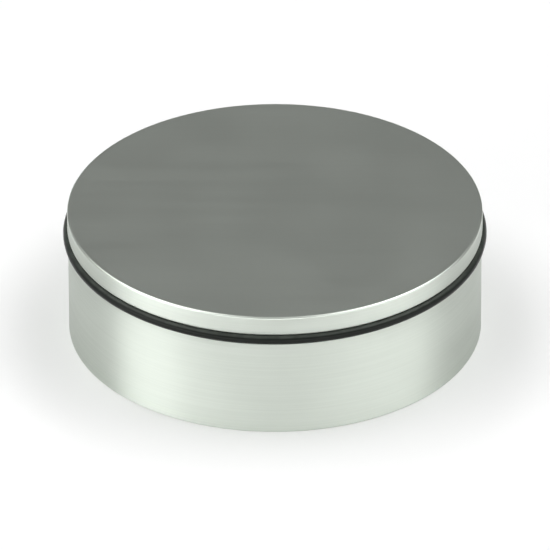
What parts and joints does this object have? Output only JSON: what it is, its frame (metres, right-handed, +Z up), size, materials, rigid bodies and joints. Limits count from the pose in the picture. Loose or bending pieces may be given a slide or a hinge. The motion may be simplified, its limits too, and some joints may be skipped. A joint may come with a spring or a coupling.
{
  "type": "slip-lid tin",
  "caption": "Shallow round metal tin with a flush slip lid and a black rubber sealing ring bulging from the joint, for candles or other poured or packed goods.",
  "frame": {"origin": "middle of the base, on the surface that the tin stands on", "axes": "+Z up along the tin's axis, towards the lid; X and Y are any two directions across, because every piece is round"},
  "size_m": [0.1064, 0.1064, 0.0335],
  "materials": {
    "body_metal": "satin tinplate",
    "rubber": "smooth, slightly glossy",
    "lid_metal": "satin tinplate"
  },
  "bodies": {
    "tin": {"tin_body": "body_metal"},
    "ring": {"seal_ring": "rubber"},
    "cover": {"lid": "lid_metal"}
  },
  "joints": [
    {"name": "ring_lift", "type": "slide", "parent": "tin", "child": "ring", "axis": [0, 0, 1], "range_m": [0, 0.01]},
    {"name": "lid_lift", "type": "slide", "parent": "ring", "child": "cover", "axis": [0, 0, 1], "range_m": [0, 0.018]}
  ]
}
